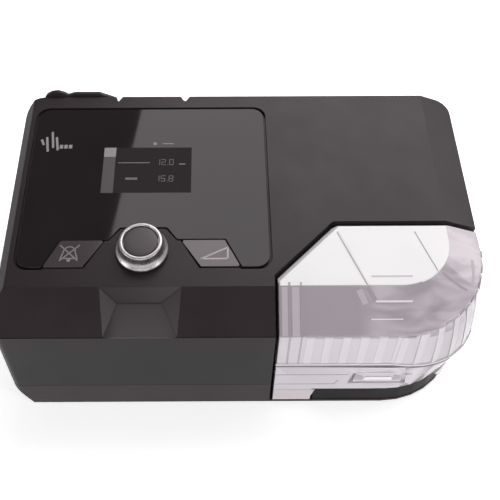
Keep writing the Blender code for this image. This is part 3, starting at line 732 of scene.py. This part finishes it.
LEAN_Z, TUB_TOP, LID_Z, SHOULDER_Z = 18.6, 45.2, 47.2, 78.1
CORNER_RISE = 13.9  # how far the shoulder climbs from the front to the side
CORNER = (91.0, -31.8, 54.0)  # the round front right corner: centre and radius
TOP_ROUND_X, TOP_ROUND = 92.0, 32.0  # the same corner of the top face
CUT_X, CUT_Y = 55.3, -54.2  # ends of the slanting rear left edge
REACH = 0.7  # how far the rear edges stand past the plain outline
FLARE, SQUARE = 3.0, 5.5
TOP_UP = Vector((0, -math.sin(TILT), math.cos(TILT)))
SLOPE_OUT = Vector((0, SHOULDER_Z - TOP_Z, TOP_Y - TANK_Y)).normalized()
FRONT_OUT = Vector((0, -1, 0))
# The lid plastic made whiter for the lid's top: painted light where the overhead light falls.
TOP_LIT = clear("top_painted_light", (0.93, 0.965, 0.955), 0.2, 0.18)
HAZE = clear("hazy_band", (0.68, 0.645, 0.68), 0.3, 0.12)
# The lid plastic made greyer for the front slope and the corner's slope: painted shade, as they face
# away from the light.
SLOPE_SHADE_AND_HIGHLIGHT = clear("slope_painted_shade_and_highlight", (0.57, 0.535, 0.57), 0.4, 0.06)
MILK = clear("milky_wall", (0.75, 0.72, 0.755), 0.3, 0.12)
RIBBED = clear("rib_plastic", (0.77, 0.74, 0.775), 0.25, 0.15)
# Pale plastic of the baffle, also used for strips of painted highlight on the duct edges and the latch
# lip.
PALE_AND_HIGHLIGHT = clear("pale_edge_and_painted_highlight", (0.93, 0.91, 0.935), 0.15, 0.15)
# Dark lines laid over the surfaces: painted shade in gaps, along steps, beside the latch and where
# walls show through.
SHADE_LINE = clear("painted_shade_line", (0.46, 0.43, 0.455), 0.2, 0.2)
# Painted highlight: drawn-out light streaks brighten the slope's right part, past x = 66 to 78 mm.
streaky(SLOPE_SHADE_AND_HIGHLIGHT, 0.066, 0.078, 0.98, 1.42)
# Painted shade: the lid's walls, the tub and the ribs darken towards the tank's right side, from x =
# 110 to 136 mm.
toned(MILK, "X", 0.110, 0.136, 0.74)
toned(RIBBED, "X", 0.110, 0.136, 0.80)
SHADE = plastic("seam_shade", (0.16, 0.14, 0.15), 0.4)
BEIGE = clear("foot_wall", (0.62, 0.565, 0.58), 0.15, 0.2)


def t_of(y):
    """Distance up the slope of the top at this y."""
    return (y - TOP_Y) / math.cos(TILT)


def top_z(y, h=0.0):
    """Height of the tilted top at this y, or of a plane h off it."""
    return TOP_Z + t_of(y) * math.sin(TILT) + h / math.cos(TILT)


def flare(x, y, height):
    """How far the wall stands out of the plain outline: height is 0 at none, 1 at the full flare.

    The foot of the lid has a squarer corner than its shoulder, and leans out to the side.
    """
    cx, cy, _ = CORNER
    if x < cx:
        return Vector((0, 0))
    if y < cy:
        a = math.atan2(y - cy, x - cx)
        part = 1 + 2 * a / math.pi
        grow = SQUARE * math.sin(math.pi * min(max(part, 0), 1)) ** 1.3 + FLARE * part
    else:
        a = 0.0
        grow = FLARE * (1.0 - (y - cy) / (TANK_BACK - cy))
    return Vector((math.cos(a), math.sin(a))) * (grow * max(height, 0.0) ** 0.6)


def tank_plan(inset, seg=20):
    """Plan of the lid from its front left round to its back left corner."""
    shift = inset * math.tan(math.radians(22.5))
    reach = REACH if inset < 1 else 0.0
    out = [(TANK_X + inset, TANK_Y + inset)]
    for k in range(seg + 1):
        a = -math.pi / 2 + math.pi / 2 * k / seg
        r = CORNER[2] - inset
        out.append((CORNER[0] + r * math.cos(a), CORNER[1] + r * math.sin(a)))
    out.append((TANK_SIDE - inset, TANK_BACK - inset + reach))
    out.append((CUT_X + shift - 0.4 * reach, TANK_BACK - inset + reach))
    out.append((TANK_X + inset - 0.4 * reach, CUT_Y - shift + 0.6 * reach))
    return out


def lid_ring(inset, level, seg=20):
    """One ring of the lid: level is a height in mm, "shoulder" or "top"."""
    ring = []
    for i, (x, y) in enumerate(tank_plan(inset, seg)):
        k = i - 1
        turn = min(max(k / seg, 0), 1)
        shoulder = SHOULDER_Z - 0.5 * inset + turn * CORNER_RISE
        if k == seg + 1:
            shoulder = top_z(y) - 7.2 - 0.9 * inset
        elif k > seg + 1:
            shoulder = 88.0
        if level == "shoulder":
            ring.append((x, y, shoulder))
        elif level == "top":
            tx, ty = x, y
            if i == 0:
                ty = TOP_Y + 0.37 * inset
            elif k <= seg:
                a = -math.pi / 2 + math.pi / 2 * k / seg
                r = TOP_ROUND - 0.2 * inset
                tx = TOP_ROUND_X + r * math.cos(a)
                ty = TOP_Y + (TOP_ROUND + r * math.sin(a)) * math.cos(TILT)
            elif k == seg + 1:
                tx = TOP_ROUND_X + TOP_ROUND - 0.2 * inset
            ring.append((tx, ty, top_z(ty, -inset)))
        else:
            out = flare(x, y, min(1.0, (shoulder - level) / (shoulder - LID_Z)))
            ring.append((x + out.x, y + out.y, level))
    return ring


def carved(bm, cutters):
    """The body less its cutters, as a new bmesh."""
    made = []

    def ob_of(b):
        bmesh.ops.recalc_face_normals(b, faces=list(b.faces))
        mesh = bpy.data.meshes.new("carve")
        b.to_mesh(mesh)
        b.free()
        ob = bpy.data.objects.new("carve", mesh)
        bpy.context.scene.collection.objects.link(ob)
        made.append(ob)
        return ob

    target = ob_of(bm)
    for cutter in cutters:
        mod = target.modifiers.new("cut", "BOOLEAN")
        mod.operation, mod.solver = "DIFFERENCE", "EXACT"
        mod.object = ob_of(cutter)
    bpy.context.view_layer.update()
    graph = bpy.context.evaluated_depsgraph_get()
    shape = target.evaluated_get(graph)
    out = bmesh.new()
    out.from_mesh(shape.to_mesh())
    shape.to_mesh_clear()
    for ob in made:
        mesh = ob.data
        bpy.data.objects.remove(ob, do_unlink=True)
        bpy.data.meshes.remove(mesh)
    return out


def box(x0, x1, y0, y1, z0, z1):
    return prism([(x0, y0), (x1, y0), (x1, y1), (x0, y1)], z0, z1)


def edge_bevels():
    """Wedges that take the corner off the lid's rear edges, so that it can swing up."""
    t = t_of(TANK_BACK + REACH)
    slant_out = Vector((-1, 1, 0)).normalized()
    slant_along = Vector((1, 1, math.tan(TILT))).normalized()
    wedges = []
    for point, out, along, leg in (
        (on_top(0, t), Vector((0, 1, 0)), Vector((1, 0, 0)), 1.3),
        (on_top(55.0, t), slant_out, slant_along, 3.8),
    ):
        inward = TOP_UP.cross(along).normalized()
        if inward.dot(out) > 0:
            inward.negate()
        low = point - Vector((0, 0, leg)) + out * 0.02
        back = point + inward * leg
        ring = [low, back, back + TOP_UP * 8, point + (out + TOP_UP) * 6, low + out * 8]
        wedges.append(loft([[v + along * d for v in ring] for d in (-160, 200)]))
    return wedges


def tank_lid():
    """Hollow lid, open below and behind where the housing's ports come in."""
    levels = [LID_Z, 50.0, 54.0, 58.0, 64.0, 70.0, 75.0]
    outer = loft([lid_ring(0, z) for z in levels + ["shoulder", "top"]])
    soften(outer, 0.9, 3, 16.0)
    inner = loft([lid_ring(2.0, z) for z in [40.0] + levels[1:-1] + ["shoulder", "top"]])
    steps = ((57.0, 127.0, 96.0), (126.9, 136.0, 93.6), (135.9, 143.2, 91.6))
    backs = [box(x0, x1, -26.5, -15.0, 40.0, z) for x0, x1, z in steps]
    lid = carved(outer, [inner] + backs + edge_bevels())
    # The top's faces take the whiter copy of the lid plastic (painted light), the slopes the greyer
    # copy (painted shade), the walls the plain one.
    for face in lid.faces:
        height = face.calc_center_median().z
        flat = abs(face.normal.dot(TOP_UP)) > 0.985 or face.normal.y > 0.2
        if flat and height > 88:
            face.material_index = 0
        elif abs(face.normal.z) > 0.2 and height > 60:
            face.material_index = 1
        else:
            face.material_index = 2
    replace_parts(piece("lid_shell", lid, [TOP_LIT, SLOPE_SHADE_AND_HIGHLIGHT, MILK], "lid", BODY, 28), "tank_lid")


def ridge(p, q, normal, width, lift=0.3, sunk=0.3):
    """Low straight ridge from p to q on a face with this normal."""
    p, q, normal = Vector(p), Vector(q), Vector(normal).normalized()
    side = (q - p).cross(normal).normalized() * (width / 2)
    ring = [p - side, p + side, q + side, q - side]
    return loft([[v - normal * sunk for v in ring], [v + normal * lift for v in ring]])


def on_slope(x, s):
    """A point on the lid's front slope, s = 0 at its top edge and 1 at its shoulder."""
    return Vector((x, TOP_Y + (TANK_Y - TOP_Y) * s, TOP_Z + (SHOULDER_Z - TOP_Z) * s))


def on_wall(angle, z):
    """Point and outward normal on the wall round the corner; angle 0 is the front."""
    a = math.radians(angle - 90)
    cx, cy, r = CORNER
    shoulder = SHOULDER_Z + angle / 90 * CORNER_RISE
    x, y = cx + r * math.cos(a), cy + r * math.sin(a)
    if z > LID_Z:
        out = flare(x, y, (shoulder - z) / (shoulder - LID_Z))
    else:
        out = flare(x, y, (z - LEAN_Z) / (TUB_TOP - LEAN_Z))
    return Vector((x + out.x, y + out.y, z)), Vector((math.cos(a), math.sin(a), 0))


def duct_lines():
    """Edges of the air guide, which show through the lid: dark lines of painted shade, pale lines of
    painted highlight, and hazy bands.
    """
    dark = [
        ridge(on_top(57.6, 37.4), on_top(72.0, 0.6), TOP_UP, 0.9, 0.12),
        ridge(on_slope(72.0, 0.02), on_slope(76.3, 0.30), SLOPE_OUT, 2.6, 0.12),
        ridge(on_top(104.6, 37.2), on_top(114.5, 9.5), TOP_UP, 0.7, 0.1),
        ridge(on_slope(76.5, 0.36), on_slope(98.0, 0.36), SLOPE_OUT, 0.5, 0.1),
        bevel_ridge(48, 0.10, 54, 0.80, 1.6),
        bevel_ridge(62, 0.85, 78, 0.70, 1.8),
    ]
    pale = [
        ridge(on_top(59.6, 37.2), on_top(73.8, 0.6), TOP_UP, 0.8, 0.14),
        ridge(on_slope(76.5, 0.31), on_slope(98.0, 0.31), SLOPE_OUT, 1.1, 0.16),
        ridge(on_slope(73.5, 0.66), on_slope(92.0, 0.66), SLOPE_OUT, 0.7, 0.12),
    ]
    haze = [
        ridge(on_top(75.0, 6.2), on_top(99.0, 6.2), TOP_UP, 0.9, 0.14),
        ridge(on_slope(67.0, 0.08), on_slope(70.6, 0.36), SLOPE_OUT, 3.6, 0.08),
        ridge(on_slope(23.8, 0.02), on_slope(23.8, 0.98), SLOPE_OUT, 3.4, 0.06),
        ridge(on_slope(30.2, 0.02), on_slope(30.2, 0.98), SLOPE_OUT, 4.4, 0.06),
    ]
    piece("duct_shadow_lines", gathered(dark), SHADE_LINE, "lid")
    piece("duct_painted_highlights", gathered(pale), PALE_AND_HIGHLIGHT, "lid")
    piece("duct_haze", gathered(haze), HAZE, "lid")


def on_bevel(angle, part):
    """Point and outward normal on the corner's slope: part is 0 at its top, 1 at the shoulder."""
    seg = 20
    top, shoulder = lid_ring(0, "top", seg), lid_ring(0, "shoulder", seg)
    k = min(max(angle / 90 * seg, 0), seg - 0.001)
    i, mix = int(k) + 1, k - int(k)
    high = Vector(top[i]).lerp(Vector(top[i + 1]), mix)
    low = Vector(shoulder[i]).lerp(Vector(shoulder[i + 1]), mix)
    along = Vector(shoulder[i + 1]) - Vector(shoulder[i])
    return high.lerp(low, part), along.cross(high - low).normalized()


def bevel_ridge(angle0, part0, angle1, part1, width):
    """Thin band on the corner's slope, laid in short pieces."""
    bands, steps = [], 6
    for k in range(steps):
        a, b = k / steps, (k + 1.04) / steps
        p, out = on_bevel(angle0 + (angle1 - angle0) * a, part0 + (part1 - part0) * a)
        q, _ = on_bevel(angle0 + (angle1 - angle0) * b, part0 + (part1 - part0) * b)
        bands.append(ridge(p, q, out, width, 0.1))
    return gathered(bands)


def end_walls():
    """The double wall at the tank's left end, seen through its face, drawn as dark lines of painted
    shade.
    """
    dark = []
    for x, width in ((26.6, 1.3), (33.4, 1.0)):
        dark.append(ridge(on_top(x, 2.5), on_top(x, 0), TOP_UP, width, 0.12))
        dark.append(ridge(on_slope(x, 0.0), on_slope(x, 1.0), SLOPE_OUT, width, 0.14))
        dark.append(ridge((x, TANK_Y, SHOULDER_Z), (x, TANK_Y, 48.2), FRONT_OUT, width, 0.14))
    piece("end_wall_lines", gathered(dark), SHADE_LINE, "lid")


def lid_ribs():
    """Upright ribs of the lid's wall and the shaded gaps under its shoulder."""
    ribs, gaps = [], []
    for i in range(6):
        x = 38.5 + 10.6 * i
        ribs.append(ridge((x, TANK_Y, 77.2), (x, TANK_Y, 49.5), FRONT_OUT, 4.6, 0.22))
        gaps.append(ridge((x + 2.7, TANK_Y, 77.2), (x + 7.9, TANK_Y, 77.2), FRONT_OUT, 1.6, 0.2))
    for i in range(8):
        angle = 11.2 * i
        high = SHOULDER_Z + angle / 90 * CORNER_RISE
        for z0, z1 in ((high - 1, 70), (70, 60), (60, 49.5)):
            (p, out), (q, _) = on_wall(angle + 3, z0), on_wall(angle + 3, z1)
            ribs.append(ridge(p, q, out, 4.4, 0.25))
        (p, out), (q, _) = on_wall(angle + 6.2, high - 0.2), on_wall(angle + 10.6, high + 0.5)
        gaps.append(ridge(p, q, out, 1.6, 0.2))
    piece("lid_ribs", gathered(ribs), RIBBED, "lid")
    piece("shoulder_gaps", gathered(gaps), SHADE_LINE, "lid")


def lid_rim():
    """Rounded bead round the foot of the lid, open at the slanting rear left edge."""
    outer, inner = lid_ring(-0.5, LID_Z)[:-2], lid_ring(0.6, LID_Z)[:-2]
    section = ((outer, 47.4), (outer, 49.0), (inner, 49.6), (inner, 47.2))
    bm = bmesh.new()
    rows = [[bm.verts.new((x, y, z)) for x, y, _ in ring] for ring, z in section]
    for low, high in zip(rows, rows[1:] + rows[:1]):
        for i in range(len(low) - 1):
            bm.faces.new((low[i], low[i + 1], high[i + 1], high[i]))
    bm.faces.new([row[0] for row in rows])
    bm.faces.new([row[-1] for row in reversed(rows)])
    piece("lid_rim", bm, RIBBED, "lid")


def copy_of(node):
    """The node's mesh in body millimetres."""
    ob = frame["nodes"][node]
    bm = bmesh.new()
    bm.from_mesh(ob.data)
    bmesh.ops.remove_doubles(bm, verts=bm.verts, dist=1e-6)
    bm.transform(Matrix.Scale(1000, 4) @ BODY.inverted() @ ob.matrix_world)
    return bm


def flared(bm):
    """Pushes the tub's outer wall out, more and more up to its rim."""
    cx, cy, _ = CORNER
    for v in bm.verts:
        x, y, z = v.co
        from_centre = math.hypot(x - cx, y - cy) if y < cy else x - cx
        if from_centre > 46:
            out = flare(x, y, (z - LEAN_Z) / (TUB_TOP - LEAN_Z))
            v.co.x += out.x
            v.co.y += out.y
    return bm


def tub():
    """Tub with its rim seal, seam, step lines, corner skirt and foot."""
    wall, seal = flared(copy_of("tank_base")), flared(copy_of("tank_seal"))
    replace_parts(piece("tub", wall, MILK, "tank"), "tank_base")
    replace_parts(piece("rim_seal", seal, SHADE, "tank"), "tank_seal")
    # Dark lines along the tub's steps: painted shade.
    runs = (((21.0, 36.0), (66.0, 36.0)), ((21.0, 24.6), (58.0, 24.6)), ((58.0, 24.6), (60.0, 29.0)))
    lines = [
        ridge((x0, TANK_Y, z0), (x1, TANK_Y, z1), FRONT_OUT, 0.6, 0.12)
        for (x0, z0), (x1, z1) in runs
    ]
    piece("tub_step_lines", gathered(lines), SHADE_LINE, "tank")
    middle = (TUB_TOP + LID_Z) / 2
    seam = [ridge((21.0, TANK_Y, middle), (91.0, TANK_Y, middle), FRONT_OUT, 1.1, 0.35)]
    for angle in range(0, 36, 4):
        (p, out), (q, _) = on_wall(angle, middle), on_wall(angle + 4.2, middle)
        seam.append(ridge(p, q, out, 1.1, 0.35))
    piece("seam_line", gathered(seam), SHADE, "tank")
    cx, cy, r = CORNER
    rows, count = [], 15
    for k in range(count):
        a = math.radians(-52 + 50 * k / (count - 1))
        drop = 18.9 - 14.3 * min(1.0, k / 3)
        section = ((0.15, drop - 0.2), (1.3, drop), (1.6, 19.6), (0.15, 19.6))
        rows.append([(cx + (r + w) * math.cos(a), cy + (r + w) * math.sin(a), z) for w, z in section])
    piece("tub_skirt", loft(rows), MILK, "tank")
    foot = [(20.5, 5.2), (43.4, 5.2), (46.6, 17.6), (20.5, 17.6)]
    piece("foot_face", slab(foot, -85.7, -85.95), BEIGE, "tank")


def latch_detail():
    """Painted highlight on the latch's lip and painted shade at its ends."""
    lip = slab([(75.5, 30.2), (93.5, 30.2), (92.6, 33.4), (76.4, 33.4)], -85.5, -86.3)
    piece("latch_lip", soften(lip, 0.25, 2, 20), PALE_AND_HIGHLIGHT, "latch")
    ends = [
        slab([(x0, 29.2), (x1, 30.0), (x1, 34.2), (x0, 35.6)], -85.6, -85.85)
        for x0, x1 in ((70.6, 75.0), (94.0, 98.4))
    ]
    piece("latch_ends", gathered(ends), SHADE_LINE, "latch")


tank_lid()
duct_lines()
end_walls()
lid_ribs()
lid_rim()
tub()
latch_detail()

for name in frame["nodes"]:
    coat(name, look_of(name))
